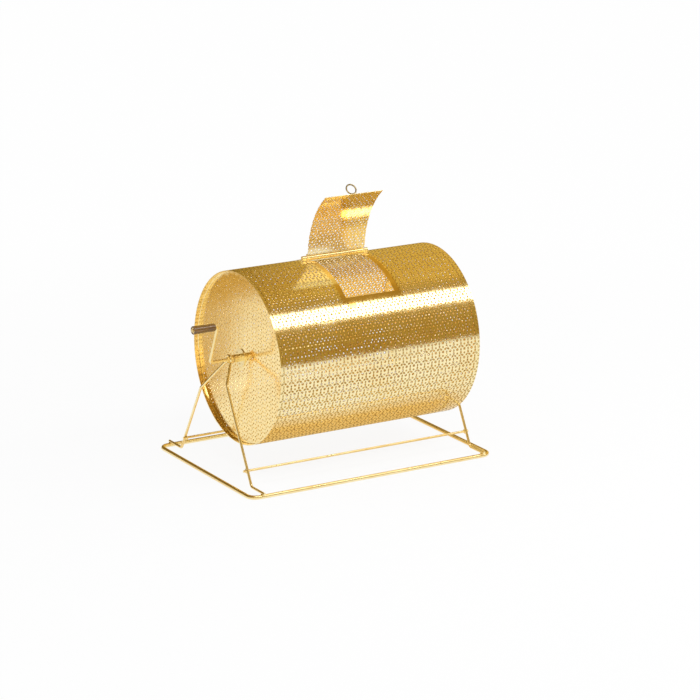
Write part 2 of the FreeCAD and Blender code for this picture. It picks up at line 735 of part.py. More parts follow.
# ---------------------------------------------------------------- build
make_base_frame()
make_stand("left_stand", LEFT_STAND_X, LEFT_EYE_X, size("front_knee_z"), size("rear_knee_z"))
make_stand("right_stand", RIGHT_STAND_X, RIGHT_STAND_X, size("right_knee_z"), size("right_knee_z"))
make_tie_rods()
make_bushes()
make_shell()
make_end_discs()
make_hub("left_hub", "left_boss_length", DISC_FACE["left"], -1)
make_hub("right_hub", "right_boss_length", DISC_FACE["right"], 1)
make_hub_fasteners()
PIN_Y, PIN_Z = make_crank_rod()
make_axle_washers()
make_grip(PIN_Y, PIN_Z)
make_straps()
make_hinge()
make_catch()
make_door()
make_finger_loop()
doc.recompute()

failed = [obj.Name for obj in doc.Objects if "Invalid" in obj.State or "Error" in obj.State]
bad = [obj.Label for obj in PARTS if obj.Shape.isNull() or not obj.Shape.isValid()]
if failed or bad:
    raise SystemExit("failed objects: %s, bad shapes: %s" % (failed, bad))

os.makedirs("parts", exist_ok=True)
for obj in PARTS:
    obj.Shape.exportStep(os.path.join("parts", obj.Label + ".step"))
    box = obj.Shape.BoundBox
    print("%-20s solids %d volume %9.1f  x %7.1f %7.1f  y %7.1f %7.1f  z %6.1f %6.1f" % (
        obj.Label, len(obj.Shape.Solids), obj.Shape.Volume,
        box.XMin, box.XMax, box.YMin, box.YMax, box.ZMin, box.ZMax))
print("door pin at", on_drum(0, size("hinge_angle"), HINGE_R), "grip axis", PIN_Y, PIN_Z)
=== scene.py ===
# %% [markdown]
# # A perforated brass raffle drum
# A raffle drum is a sheet-metal cylinder on a wire stand. It is filled with tickets
# through a curved door, turned by its crank, and opened again for the draw.
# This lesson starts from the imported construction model, whose rods, hubs and hinge parts
# already have their final shape, and adds what a construction model leaves out: the
# punched holes, the rolled door hinge, brazed joints, brass and wood, and a small studio.

import json
import math

import bmesh
import bpy
import numpy as np
from mathutils import Matrix, Vector, noise


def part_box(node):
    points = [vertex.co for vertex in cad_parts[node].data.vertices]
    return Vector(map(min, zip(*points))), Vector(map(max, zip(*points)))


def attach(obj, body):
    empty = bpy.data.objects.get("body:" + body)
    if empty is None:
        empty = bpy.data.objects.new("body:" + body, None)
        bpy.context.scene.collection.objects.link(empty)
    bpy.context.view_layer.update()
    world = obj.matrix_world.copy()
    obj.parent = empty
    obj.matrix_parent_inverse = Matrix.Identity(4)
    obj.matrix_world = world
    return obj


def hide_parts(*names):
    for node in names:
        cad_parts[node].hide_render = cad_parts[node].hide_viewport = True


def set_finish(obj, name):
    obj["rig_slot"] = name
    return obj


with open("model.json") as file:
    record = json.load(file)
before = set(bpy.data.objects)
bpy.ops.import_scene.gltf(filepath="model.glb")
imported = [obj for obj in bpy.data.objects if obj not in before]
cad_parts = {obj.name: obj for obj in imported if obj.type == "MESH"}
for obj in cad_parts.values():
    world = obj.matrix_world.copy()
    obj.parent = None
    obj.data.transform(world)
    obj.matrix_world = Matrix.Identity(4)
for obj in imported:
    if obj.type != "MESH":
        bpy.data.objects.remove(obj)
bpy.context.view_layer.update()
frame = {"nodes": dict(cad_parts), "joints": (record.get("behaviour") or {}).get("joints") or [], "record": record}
JOINTS = {joint["name"]: joint for joint in frame["joints"]}

# %% [markdown]
# ## Sizes
# Blender works in metres, and the drum is measured in millimetres, so one name, MM, turns
# one into the other. Lengths that the construction model knows are read from its boxes and
# joints, so that a new drum size would carry through to the sheet metal drawn here.

# %% Sizes read from the model
MM = 0.001

shell_low, shell_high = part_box("drum_shell")
LEFT_RIM = shell_low.x
RIGHT_RIM = shell_high.x
RADIUS = (shell_high.y - shell_low.y) / 2
AXLE_Z = JOINTS["drum_spin"]["pos_m"][2]
SHEET = 0.8 * MM
DOOR_LIFT = 0.3 * MM

PIN = Vector(JOINTS["door_hinge"]["pos_m"])
DOOR_OPEN = -JOINTS["door_hinge"]["range_deg"][0]
door_low, door_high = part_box("door_panel")
DOOR_MIDDLE = (door_low.x + door_high.x) / 2
DOOR_HALF = (door_high.x - door_low.x) / 2
# Edges of the shut door, in degrees from the top towards the front.
DOOR_FRONT = 46.3
DOOR_BACK = -3.2
print("drum %.0f mm across, %.0f mm long" % (2 * RADIUS / MM, (RIGHT_RIM - LEFT_RIM) / MM))


# %% [markdown]
# ## Round the drum
# Every place on the drum is a distance along the axle and an angle from the top. The angle
# counts towards the back, so that a flat blank seen from outside, x to the right and y up,
# rolls onto the drum without being turned inside out.

# %% Points on the drum
def on_drum(x, angle, radius):
    """A point by its place along the axle, its angle towards the back in degrees, its radius."""
    around = math.radians(angle)
    return Vector((x, radius * math.sin(around), AXLE_Z + radius * math.cos(around)))


def roll_up(bm, radius):
    """Roll a flat blank round the axle: x stays, y becomes arc length, z becomes height."""
    for v in bm.verts:
        v.co = on_drum(v.co.x, math.degrees(v.co.y / radius), radius + v.co.z)


def swing_open(bm):
    """Turn a piece of the shut door about its pin to where it stands open."""
    turn = Matrix.Rotation(math.radians(-DOOR_OPEN), 3, "X")
    bmesh.ops.rotate(bm, cent=PIN, matrix=turn, verts=bm.verts)


print("top of the drum: %.0f mm above the table" % (on_drum(0, 0, RADIUS).z / MM))


# %% [markdown]
# ## Finished pieces
# A bmesh is only a sketch of a piece until it becomes an object. This helper does that in
# one place: it names the piece, says which body of the mechanism carries it and which
# material slot it belongs to, and hides the construction nodes that it stands for.

# %% From bmesh to piece
PIECES = {}


def finish_piece(bm, name, body, slot, replaces=()):
    """Make an object of a bmesh, riding on a body and standing for some nodes."""
    mesh = bpy.data.meshes.new(name)
    bm.to_mesh(mesh)
    bm.free()
    piece = bpy.data.objects.new(name, mesh)
    bpy.context.scene.collection.objects.link(piece)
    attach(piece, body)
    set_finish(piece, slot)
    if replaces:
        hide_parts(*replaces)
    PIECES[name] = piece
    print("%-24s %7d faces" % (name, len(mesh.polygons)))
    return piece


# %% [markdown]
# ## The punched pattern
# The sheet is bought ready punched: one small group of holes is repeated all over it. Here
# the group is three leaf-shaped holes round a point, a short slot under them, and one
# large and one small round hole between the groups. The holes are real openings, because
# light goes through them and the far wall of the drum shows in them.
# Each hole is a circle with few points, drawn out to its length. In the table, its place
# is a share of the group's width and of its height, and its turn is in degrees.

# %% Holes of one group
GROUPS_ALONG = 27
GROUPS_ROUND = 60
GROUP_WIDTH = (RIGHT_RIM - LEFT_RIM) / GROUPS_ALONG
GROUP_HEIGHT = 2 * math.pi * RADIUS / GROUPS_ROUND
HOLE_POINTS = 8

LEAF = (4.5 * MM, 2.8 * MM)
SLOT = (4.0 * MM, 2.2 * MM)
LARGE = (4.2 * MM, 4.2 * MM)
SMALL = (3.0 * MM, 3.0 * MM)
# across, up, (length, width), turn
GROUP = [
    (0.34, 0.82, LEAF, 90),
    (0.14, 0.50, LEAF, 210),
    (0.54, 0.50, LEAF, -30),
    (0.34, 0.17, SLOT, 90),
    (0.83, 0.19, LARGE, 0),
    (0.83, 0.74, SMALL, 0),
]


def punch(bm, x, y, size, turn):
    """Draw the outline of one hole on a flat blank."""
    length, width = size
    place = (Matrix.Translation((x, y, 0)) @ Matrix.Rotation(math.radians(turn), 4, "Z")
             @ Matrix.Diagonal((length / width, 1, 1, 1)))
    bmesh.ops.create_circle(bm, cap_ends=False, segments=HOLE_POINTS, radius=width / 2,
                            matrix=place)


print("one group: %.1f by %.1f mm" % (GROUP_WIDTH / MM, GROUP_HEIGHT / MM))


# %% [markdown]
# ## One group of the sheet
# The sheet between the holes has to be made of faces. One group is drawn as an outline and
# six holes, and the space between them is filled. Filling one small group is quick and
# gives short, tidy triangles; filling a whole sheet at once would leave slivers right
# across it. The outline is a circle of four points, which is a square, stretched to the
# group's size. It gets a point in the middle of each side, so that the sheet bends
# smoothly when it is rolled.

# %% One group, filled
def punched_group(hole_share=1.0):
    """One group as a flat mesh, lowest corner at the origin; the share shrinks its holes."""
    bm = bmesh.new()
    made = bmesh.ops.create_circle(bm, cap_ends=False, segments=4, radius=math.sqrt(0.5),
                                   matrix=Matrix.Rotation(math.radians(45), 4, "Z"))
    bmesh.ops.translate(bm, verts=made["verts"], vec=(0.5, 0.5, 0))
    bmesh.ops.scale(bm, verts=made["verts"], vec=(GROUP_WIDTH, GROUP_HEIGHT, 1))
    bmesh.ops.subdivide_edges(bm, edges=bm.edges, cuts=1)
    for across, up, size, turn in GROUP:
        smaller = (size[0] * hole_share, size[1] * hole_share)
        punch(bm, across * GROUP_WIDTH, up * GROUP_HEIGHT, smaller, turn)
    bmesh.ops.triangle_fill(bm, edges=bm.edges, use_beauty=True, normal=(0, 0, 1))
    bmesh.ops.recalc_face_normals(bm, faces=bm.faces)
    mesh = bpy.data.meshes.new("punched_group")
    bm.to_mesh(mesh)
    bm.free()
    return mesh


SHELL_GROUP = punched_group()
print("one group:", len(SHELL_GROUP.polygons), "triangles round", len(GROUP), "holes")


# %% [markdown]
# ## Groups repeated into a blank
# A blank is the flat piece of sheet that something is made from. Two Array modifiers set
# the group side by side, first along the drum and then round it. Their result is read
# back into a bmesh at once, because the cuts that follow need real faces, and the points
# where groups touch are merged, so that the blank is one sheet and not a pile of tiles.

# %% A blank of whole groups
SAME_PLACE = 0.01 * MM


def punched_blank(columns, rows, group=SHELL_GROUP):
    """Flat punched sheet of whole groups, lowest corner at the origin, facing up."""
    pattern = bpy.data.objects.new("pattern", group)
    bpy.context.scene.collection.objects.link(pattern)
    for count, step in ((columns, (GROUP_WIDTH, 0, 0)), (rows, (0, GROUP_HEIGHT, 0))):
        repeat = pattern.modifiers.new("repeat", "ARRAY")
        repeat.count = count
        repeat.use_relative_offset = False
        repeat.use_constant_offset = True
        repeat.constant_offset_displace = step
    bpy.context.view_layer.update()
    tiled = pattern.evaluated_get(bpy.context.evaluated_depsgraph_get()).to_mesh()
    bm = bmesh.new()
    bm.from_mesh(tiled)
    pattern.to_mesh_clear()
    bpy.data.objects.remove(pattern)
    bmesh.ops.remove_doubles(bm, verts=bm.verts, dist=SAME_PLACE)
    bm.faces.ensure_lookup_table()
    if bm.faces[0].normal.z < 0:
        bmesh.ops.reverse_faces(bm, faces=bm.faces)
    return bm


# %% [markdown]
# ## Cutting a blank
# A maker shears the flat blank before rolling it, and so does this script: a bisecting
# plane cuts through whatever holes lie on the line, and leaves the cut holes open at the
# edge as on the real sheet. A plane has no ends, so for a window only the faces round the
# window are cut.

# %% Shears
ON_THE_LINE = 0.001 * MM


def inside(point, low, high):
    """Whether a point lies within the rectangle between two corners."""
    return low[0] < point.x < high[0] and low[1] < point.y < high[1]


def shear_sides(bm, low, high, faces_to_cut):
    """Cut along a rectangle's four sides; faces_to_cut lists the faces that a cut may meet."""
    for corner, inward in ((low, (1, 0)), (low, (0, 1)), (high, (-1, 0)), (high, (0, -1))):
        faces = faces_to_cut()
        parts = set(faces)
        parts.update(e for f in faces for e in f.edges)
        parts.update(v for f in faces for v in f.verts)
        bmesh.ops.bisect_plane(bm, geom=list(parts), dist=ON_THE_LINE,
                               plane_co=(corner[0], corner[1], 0),
                               plane_no=(inward[0], inward[1], 0))


def trim(bm, low, high):
    """Cut a blank down to the rectangle between two corners."""
    shear_sides(bm, low, high, lambda: list(bm.faces))
    spare = [f for f in bm.faces if not inside(f.calc_center_median(), low, high)]
    bmesh.ops.delete(bm, geom=spare, context="FACES")


def cut_window(bm, low, high):
    """Cut a rectangle out of a blank, and leave the faces far from it alone."""
    margin = Vector((GROUP_WIDTH, GROUP_HEIGHT))
    low_reach = Vector(low) - margin
    high_reach = Vector(high) + margin

    def near():
        """The faces in and just round the window."""
        return [f for f in bm.faces if inside(f.calc_center_median(), low_reach, high_reach)]

    shear_sides(bm, low, high, near)
    spare = [f for f in bm.faces if inside(f.calc_center_median(), low, high)]
    bmesh.ops.delete(bm, geom=spare, context="FACES")


# %% [markdown]
# ## Pattern and thickness
# Before a blank is rolled, its flat places are written to a UV map, so that a finish can
# follow the sheet round the drum. After rolling, Solidify gives the surface its thickness.
# It goes by the normals of the faces, which rolling has turned, so they are worked out anew.

# %% Working on a blank
def keep_flat_pattern(bm, corner=(0, 0)):
    """Write the flat places, in metres from a corner of a group, to a UV map called sheet."""
    layer = bm.loops.layers.uv.new("sheet")
    for face in bm.faces:
        for loop in face.loops:
            loop[layer].uv = loop.vert.co.xy - Vector(corner)


def thicken(bm):
    """Give a surface the sheet's thickness, away from the side that it faces."""
    bm.normal_update()
    bmesh.ops.solidify(bm, geom=bm.faces, thickness=SHEET)


# %% [markdown]
# ## Clean reflections
# The rolled sheet is made of small flat triangles, and polished brass would show every
# one. Each corner therefore gets the normal of the true cylinder, inside and out, and only
# the walls of the holes keep their own. A face belongs to the sheet when its own normal
# points mostly away from the axle or towards it.

# %% Normals of the true cylinder
SHEET_FACING = 0.7


def true_cylinder_normals(piece, turn=None):
    """Set each sheet corner's normal square to the axle; turn undoes an opened door's swing."""
    mesh = piece.data
    corners = len(mesh.loops)
    points = np.empty(3 * len(mesh.vertices), np.float32)
    mesh.vertices.foreach_get("co", points)
    face_normals = np.empty(3 * len(mesh.polygons), np.float32)
    mesh.polygons.foreach_get("normal", face_normals)
    counts = np.empty(len(mesh.polygons), np.int32)
    mesh.polygons.foreach_get("loop_total", counts)
    of_vertex = np.empty(corners, np.int32)
    mesh.loops.foreach_get("vertex_index", of_vertex)
    centre = Vector((0, 0, AXLE_Z)) if turn is None else turn @ Vector((0, 0, AXLE_Z))
    out = points.reshape(-1, 3)[of_vertex] - np.array(centre)
    out[:, 0] = 0
    out /= np.linalg.norm(out, axis=1)[:, None]
    own = np.repeat(face_normals.reshape(-1, 3), counts, axis=0)
    facing = (own * out).sum(1)
    on_sheet = np.abs(facing) > SHEET_FACING
    normals = np.where(on_sheet[:, None], np.sign(facing)[:, None] * out, own)
    mesh.polygons.foreach_set("use_smooth", np.ones(len(mesh.polygons), bool))
    mesh.normals_split_custom_set(normals.tolist())


# %% [markdown]
# ## The drum's shell
# The real shell is one sheet with a lap seam low on the back. Here it is three rings of
# nine groups each, because one mesh of that many triangles is slow to work with. They
# meet along the edges of the groups, where no hole is cut. The opening runs from just
# behind the top to the front.

# %% Shell in three rings
OPENING_GAP_X = 1.0 * MM
OPENING_GAP_ANGLE = 0.5
RINGS = 3
GROUPS_PER_RING = GROUPS_ALONG // RINGS


def arc(angle, radius=RADIUS):
    """Arc length from the top to an angle in degrees."""
    return math.radians(angle) * radius


opening_low = (DOOR_MIDDLE - DOOR_HALF - OPENING_GAP_X, arc(-DOOR_FRONT - OPENING_GAP_ANGLE))
opening_high = (DOOR_MIDDLE + DOOR_HALF + OPENING_GAP_X, arc(-DOOR_BACK + OPENING_GAP_ANGLE))

for ring in range(RINGS):
    ring_x = LEFT_RIM + ring * GROUPS_PER_RING * GROUP_WIDTH
    blank = punched_blank(GROUPS_PER_RING, GROUPS_ROUND)
    bmesh.ops.translate(blank, verts=blank.verts, vec=(ring_x, -math.pi * RADIUS, 0))
    cut_window(blank, opening_low, opening_high)
    keep_flat_pattern(blank, (LEFT_RIM, -math.pi * RADIUS))
    roll_up(blank, RADIUS)
    bmesh.ops.remove_doubles(blank, verts=blank.verts, dist=SAME_PLACE)
    thicken(blank)
    shell_ring = finish_piece(blank, "shell_ring_%d" % (ring + 1), "drum", "perforated_brass",
                              ["drum_shell"])
    true_cylinder_normals(shell_ring)

# %% [markdown]
# ## The lap seam
# A rolled sheet has to be closed somewhere, and the maker turns that line to the back where
# nobody looks. The edge laps over itself by a finger's width of plain sheet and is held by
# a row of spot welds, each of which leaves a shallow round mark. The lap is one grid rolled
# like the shell, and a weld is a low dome pressed flat onto it.

# %% Seam and its spot welds
SEAM_ANGLE = 150.0
SEAM_LAP = 10.0 * MM
SEAM_FACES_ALONG = 40
SEAM_FACES_ACROSS = 6
WELDS = 19
WELD_RADIUS = 2.2 * MM
WELD_HEIGHT = 0.35 * MM


def dome(bm, place, radius, height, segments=12, rings=6):
    """A low dome standing on the plane of the place given."""
    made = bmesh.ops.create_uvsphere(bm, u_segments=segments, v_segments=rings, radius=1.0)
    flat = place @ Matrix.Diagonal((radius, radius, height, 1))
    bmesh.ops.transform(bm, matrix=flat, verts=made["verts"])


def smooth_with_sharp_edges(piece, angle=35.0):
    """Shade a piece smooth except across edges that turn by more than the angle."""
    piece.data.shade_smooth()
    piece.data.set_sharp_from_angle(angle=math.radians(angle))


seam = bmesh.new()
bmesh.ops.create_grid(seam, x_segments=SEAM_FACES_ALONG, y_segments=SEAM_FACES_ACROSS, size=0.5)
bmesh.ops.scale(seam, verts=seam.verts, vec=(RIGHT_RIM - LEFT_RIM, SEAM_LAP, 1))
seam_outside = RADIUS + SHEET
bmesh.ops.translate(seam, verts=seam.verts,
                    vec=((LEFT_RIM + RIGHT_RIM) / 2, arc(SEAM_ANGLE, seam_outside), 0))
roll_up(seam, seam_outside)
thicken(seam)
for weld in range(WELDS):
    weld_x = LEFT_RIM + (weld + 0.5) / WELDS * (RIGHT_RIM - LEFT_RIM)
    foot = on_drum(weld_x, SEAM_ANGLE, seam_outside - WELD_HEIGHT / 2)
    outward = on_drum(weld_x, SEAM_ANGLE, 1.0) - on_drum(weld_x, SEAM_ANGLE, 0.0)
    upright = outward.to_track_quat("Z", "X").to_matrix().to_4x4()
    dome(seam, Matrix.Translation(foot) @ upright, WELD_RADIUS, WELD_HEIGHT)
seam_piece = finish_piece(seam, "shell_seam", "drum", "perforated_brass", ["drum_shell"])
smooth_with_sharp_edges(seam_piece)

# %% [markdown]
# ## End discs
# The ends are discs of the same sheet, set back inside the rims, with an edge flanged
# outwards so that it can be fixed to the shell. The holes of the endless pattern are gone
# through one by one, and those too near to the hub or the bend are left out: the metal
# stays strong there, and every hole that is drawn is whole, so that the disc can be filled
# in one go.

# %% Holes of a disc
disc_low, disc_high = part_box("left_end_disc")
DISC_SETBACK = disc_high.x - disc_low.x - SHEET
FLANGE_RADIUS = (disc_high.y - disc_low.y) / 2 - SHEET
DISC_BEND = 1.5 * MM
DISC_EDGE_MARGIN = 1.2 * MM
DISC_HOLE_SHARE = 0.85
hub_low, hub_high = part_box("left_hub")
HUB_RADIUS = (hub_high.y - hub_low.y) / 2


def disc_holes():
    """Places on the disc's own plane of every hole that clears the hub and the bend."""
    reach = int(FLANGE_RADIUS / GROUP_WIDTH) + 2
    for column in range(-reach, reach):
        for row in range(-reach, reach):
            for across, up, size, turn in GROUP:
                x = (column + across) * GROUP_WIDTH
                y = (row + up) * GROUP_HEIGHT
                far = math.hypot(x, y)
                half = size[0] / 2 + DISC_EDGE_MARGIN
                if HUB_RADIUS + half < far < FLANGE_RADIUS - DISC_BEND - half:
                    yield x, y, (size[0] * DISC_HOLE_SHARE, size[1] * DISC_HOLE_SHARE), turn


print("holes in a disc:", len(list(disc_holes())))


# %% [markdown]
# ## An edge that grows
# A flange is spun over a former: the edge of the disc is bent up a little further with
# each pass. Extruding does the same to an open edge. Each step copies the ring of points,
# scales it to a new radius and lifts it, and a few steps make the bend and the flange.
# One more, inwards and without a lift, carries the plain sheet in to the axle.

# %% Flange and bore
BEND_STEPS = 4
BORE_RADIUS = 2.8 * MM


def edge_loop_at(bm, radius):
    """The open edges whose ends both lie at a radius from the disc's axis."""
    def on_it(v):
        return abs(math.hypot(v.co.x, v.co.y) - radius) < SAME_PLACE
    return [e for e in bm.edges if e.is_boundary and on_it(e.verts[0]) and on_it(e.verts[1])]


def grown_edge(bm, radius, new_radius, rise):
    """Extrude the open edge at a radius out to a new radius, lifted by a rise."""
    made = bmesh.ops.extrude_edge_only(bm, edges=edge_loop_at(bm, radius))
    moved = [v for v in made["geom"] if isinstance(v, bmesh.types.BMVert)]
    share = new_radius / radius
    bmesh.ops.scale(bm, verts=moved, vec=(share, share, 1))
    bmesh.ops.translate(bm, verts=moved, vec=(0, 0, rise))


def close_to_bore(bm):
    """Carry the plain sheet under the hub in to the bore for the axle."""
    grown_edge(bm, HUB_RADIUS, BORE_RADIUS, 0)


def raise_flange(bm):
    """Bend the edge up and draw it out to the flange's full height."""
    radius = FLANGE_RADIUS - DISC_BEND
    height = 0.0
    for step in range(1, BEND_STEPS + 1):
        turn = math.radians(90) * step / BEND_STEPS
        new_radius = FLANGE_RADIUS - DISC_BEND + DISC_BEND * math.sin(turn)
        new_height = DISC_BEND * (1 - math.cos(turn))
        grown_edge(bm, radius, new_radius, new_height - height)
        radius, height = new_radius, new_height
    grown_edge(bm, radius, radius, DISC_SETBACK - height)


print("flange: %.1f mm high, bent in %d steps" % (DISC_SETBACK / MM, BEND_STEPS))


# %% [markdown]
# ## Both discs from one drawing
# The two ends are the same part, turned so that each flange points out of the drum. The
# disc is drawn lying flat, where circles and holes are easy to place, and stood up by a
# quarter turn, one way for the left end and the other way for the right.

# %% Both end discs
RIM_POINTS = 144
HUB_POINTS = 24


def punched_disc():
    """The flanged disc lying flat, facing up, its axis through the origin."""
    bm = bmesh.new()
    bmesh.ops.create_circle(bm, cap_ends=False, segments=RIM_POINTS,
                            radius=FLANGE_RADIUS - DISC_BEND)
    bmesh.ops.create_circle(bm, cap_ends=False, segments=HUB_POINTS, radius=HUB_RADIUS)
    for x, y, size, turn in disc_holes():
        punch(bm, x, y, size, turn)
    bmesh.ops.triangle_fill(bm, edges=bm.edges, use_beauty=True, normal=(0, 0, 1))
    if sum(f.normal.z for f in bm.faces) < 0:
        bmesh.ops.reverse_faces(bm, faces=bm.faces)
    close_to_bore(bm)
    raise_flange(bm)
    keep_flat_pattern(bm)
    thicken(bm)
    return bm


def place_disc(name, node, face_x, quarter_turn):
    """Stand a disc on its axis, its flange pointing out of the drum."""
    disc = punched_disc()
    upright = Matrix.Rotation(math.radians(quarter_turn), 4, "Y")
    place = Matrix.Translation((face_x, 0, AXLE_Z)) @ upright
    bmesh.ops.transform(disc, matrix=place, verts=disc.verts)
    piece = finish_piece(disc, name, "drum", "perforated_brass", [node])
    smooth_with_sharp_edges(piece)


place_disc("left_disc", "left_end_disc", LEFT_RIM + DISC_SETBACK, -90)
place_disc("right_disc", "right_end_disc", RIGHT_RIM - DISC_SETBACK, 90)

# %% [markdown]
# ## The door
# The door is a piece of the same punched sheet, rolled a little larger than the shell so
# that it lies on the landing straps. It is modelled shut, where it is easy to draw, and
# then swung open about the pin as one would swing the real one. Its blank starts a third
# of a group before its corner, because the maker cuts a door wherever the sheet lies.

# %% Door sheet
DOOR_HOLE_SHARE = 0.80
# The swing to the open door as one matrix, for the cylinder that its normals follow.
SWING = (Matrix.Translation(PIN) @ Matrix.Rotation(math.radians(-DOOR_OPEN), 4, "X")
         @ Matrix.Translation(-PIN))

door_radius = RADIUS + DOOR_LIFT
door_low_corner = (DOOR_MIDDLE - DOOR_HALF, arc(-DOOR_FRONT, door_radius))
door_high_corner = (DOOR_MIDDLE + DOOR_HALF, arc(-DOOR_BACK, door_radius))
door_columns = math.ceil(2 * DOOR_HALF / GROUP_WIDTH) + 1
door_rows = math.ceil((door_high_corner[1] - door_low_corner[1]) / GROUP_HEIGHT) + 1
door = punched_blank(door_columns, door_rows, punched_group(DOOR_HOLE_SHARE))
blank_corner = (door_low_corner[0] - GROUP_WIDTH / 3, door_low_corner[1] - GROUP_HEIGHT / 3)
bmesh.ops.translate(door, verts=door.verts, vec=(*blank_corner, 0))
trim(door, door_low_corner, door_high_corner)
keep_flat_pattern(door, blank_corner)
roll_up(door, door_radius)
thicken(door)
swing_open(door)
door_piece = finish_piece(door, "door_sheet", "door", "perforated_brass", ["door_panel"])
true_cylinder_normals(door_piece, SWING)

# %% [markdown]
# ## The rolled hinge
# The back edge of the door is a plain strip: it steps up over the edge of the opening and
# is rolled round the pin. Seen along the pin it is one line, so that line is drawn first:
# two straight runs, with the corner between them rounded by a bevel, and then a spin that
# carries the end round the pin.

# %% The strip seen along the pin
HINGE_ANGLE = math.degrees(math.atan2(PIN.y, PIN.z - AXLE_Z))
BARREL = 3.5 * MM
STEP_FRONT = 6.7 * MM
STEP_FOOT = -4.9 * MM
SHELF_TOP = 0.4 * MM
STEP_BEND = 1.0 * MM
STEP_BEND_STEPS = 4
ROLL_SWEEP = 335.0
ROLL_STEPS = 26


def beside_pin(forward, out):
    """A point by its distance forward of the pin and out from it, with the door shut."""
    lean = math.radians(HINGE_ANGLE)
    ahead = Vector((0, -math.cos(lean), math.sin(lean)))
    outward = Vector((0, math.sin(lean), math.cos(lean)))
    return Vector((0, PIN.y, PIN.z)) + ahead * forward + outward * out


strip = bmesh.new()
shelf_end = math.sqrt(BARREL ** 2 - SHELF_TOP ** 2)
corners = [(STEP_FRONT, STEP_FOOT), (STEP_FRONT, SHELF_TOP), (shelf_end, SHELF_TOP)]
tip = strip.verts.new(beside_pin(*corners[0]))
for forward, out in corners[1:]:
    made = bmesh.ops.extrude_vert_indiv(strip, verts=[tip])
    tip = made["verts"][0]
    tip.co = beside_pin(forward, out)
bmesh.ops.bevel(strip, geom=[v for v in strip.verts if len(v.link_edges) == 2],
                offset=STEP_BEND, offset_type="OFFSET", segments=STEP_BEND_STEPS, profile=0.5,
                affect="VERTICES", material=-1)
tip = max((v for v in strip.verts if len(v.link_edges) == 1), key=lambda v: v.co.y)
bmesh.ops.spin(strip, geom=[tip], cent=(0, PIN.y, PIN.z), axis=(-1, 0, 0),
               angle=math.radians(ROLL_SWEEP), steps=ROLL_STEPS, use_duplicate=False)
print("the strip's line:", len(strip.edges), "edges")

# %% [markdown]
# ## The line drawn out
# Extruded along the pin, the line becomes a strip as wide as the door. The face at the
# step must look forward, because the thickness is added behind it; if it looks back, all
# faces are turned round.

# %% Door strip rolled round the pin
bmesh.ops.translate(strip, verts=strip.verts, vec=(DOOR_MIDDLE - DOOR_HALF, 0, 0))
drawn = bmesh.ops.extrude_edge_only(strip, edges=strip.edges)
bmesh.ops.translate(strip, vec=(2 * DOOR_HALF, 0, 0),
                    verts=[v for v in drawn["geom"] if isinstance(v, bmesh.types.BMVert)])
bmesh.ops.recalc_face_normals(strip, faces=strip.faces)
step_face = min(strip.faces, key=lambda f: f.calc_center_median().y)
if step_face.normal.y > 0:
    bmesh.ops.reverse_faces(strip, faces=strip.faces)
thicken(strip)
swing_open(strip)
strip_piece = finish_piece(strip, "door_hinge_roll", "door", "plain_brass_strip", ["door_panel"])
smooth_with_sharp_edges(strip_piece)

# %% [markdown]
# ## Brazed joints
# The wires of the stand are held together by brazing: brass rod melted into each crossing,
# which sets as a smooth, uneven lump. A lump is a small sphere, squashed to the joint and
# pushed about a little by noise, so that no two are the same.

# %% Lumps of braze at the crossings
BRAZE_SIZE = Vector((4.2, 4.4, 2.6)) * MM
BRAZE_UNEVEN = 0.6 * MM
BRAZE_RIPPLE = 260.0
BRAZE_SINK = 0.4 * MM
LEG_WIRE_RADIUS = 2.25 * MM
RAIL_INSET = 4.0 * MM


def braze_lump(bm, place, reach):
    """An uneven lump of brazing metal round a point."""
    squashed = Matrix.Translation(place) @ Matrix.Diagonal((*reach, 1))
    made = bmesh.ops.create_icosphere(bm, subdivisions=3, radius=1.0, matrix=squashed)
    for v in made["verts"]:
        v.co += (v.co - place).normalized() * BRAZE_UNEVEN * noise.noise(v.co * BRAZE_RIPPLE)


front_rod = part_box("front_tie_rod")
rear_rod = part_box("rear_tie_rod")
left_leg_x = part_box("left_stand")[0].x + LEG_WIRE_RADIUS
right_leg_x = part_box("right_stand")[1].x - LEG_WIRE_RADIUS
base_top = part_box("base_frame")[1]
rail_y = base_top.y - RAIL_INSET
lumps = bmesh.new()
for leg_x in (left_leg_x, right_leg_x):
    for low, high in (front_rod, rear_rod):
        crossing = Vector((leg_x, (low.y + high.y) / 2, (low.z + high.z) / 2))
        braze_lump(lumps, crossing, BRAZE_SIZE.zxy)
    for side in (-1, 1):
        crossing = Vector((leg_x, side * rail_y, base_top.z - BRAZE_SINK))
        braze_lump(lumps, crossing, BRAZE_SIZE)
lumps_piece = finish_piece(lumps, "braze_lumps", "stand", "brass_wire")
lumps_piece.data.shade_smooth()

# %% [markdown]
# ## Materials in words
# A finish is a small sum of textures. Written with plain operators it reads like the sum
# it is, so a socket is wrapped in a class that turns +, - and * into Math nodes.

